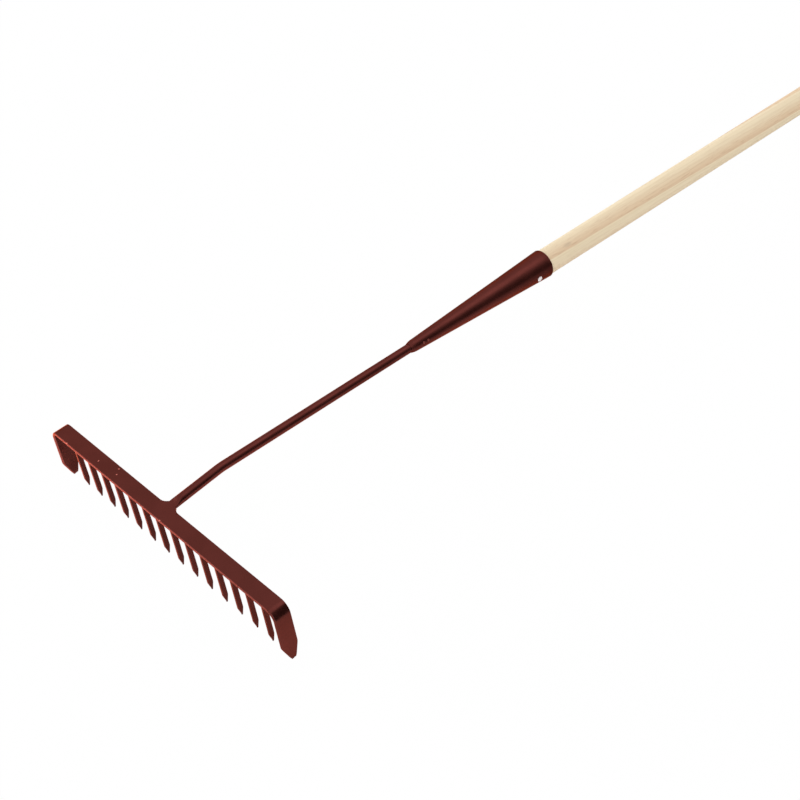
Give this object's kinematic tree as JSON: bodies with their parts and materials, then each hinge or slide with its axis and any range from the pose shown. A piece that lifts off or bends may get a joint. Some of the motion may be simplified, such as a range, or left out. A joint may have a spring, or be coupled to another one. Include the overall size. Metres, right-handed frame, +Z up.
{
  "type": "garden rake",
  "caption": "Level-head garden rake for soil and gravel: a steel strip head with bent end tines and welded bar tines, a straight shank, a tapered socket and a long wooden handle.",
  "frame": {"origin": "bottom centre of the rake's bounding box, on the ground, with the rake lying tines down on its two end tines and the end of its handle", "axes": "+X along the head, +Y from the head to the free end of the handle, +Z up"},
  "size_m": [0.404, 1.7362, 0.0853],
  "materials": {
    "red_enamel": "glossy dark red enamel with a slight orange peel",
    "ash_wood": "planed and lightly waxed pale ash, grain along the handle",
    "zinc": "bright zinc plating"
  },
  "bodies": {
    "root": {"head_strip": "red_enamel", "bar_tine_1": "red_enamel", "bar_tine_2": "red_enamel", "bar_tine_3": "red_enamel", "bar_tine_4": "red_enamel", "bar_tine_5": "red_enamel", "bar_tine_6": "red_enamel", "bar_tine_7": "red_enamel", "bar_tine_8": "red_enamel", "bar_tine_9": "red_enamel", "bar_tine_10": "red_enamel", "bar_tine_11": "red_enamel", "bar_tine_12": "red_enamel", "bar_tine_13": "red_enamel", "bar_tine_14": "red_enamel", "tine_welds": "red_enamel", "shank": "red_enamel", "neck_weld": "red_enamel", "socket": "red_enamel", "plug_welds": "red_enamel", "handle": "ash_wood", "fixing_screws": "zinc"}
  },
  "joints": []
}
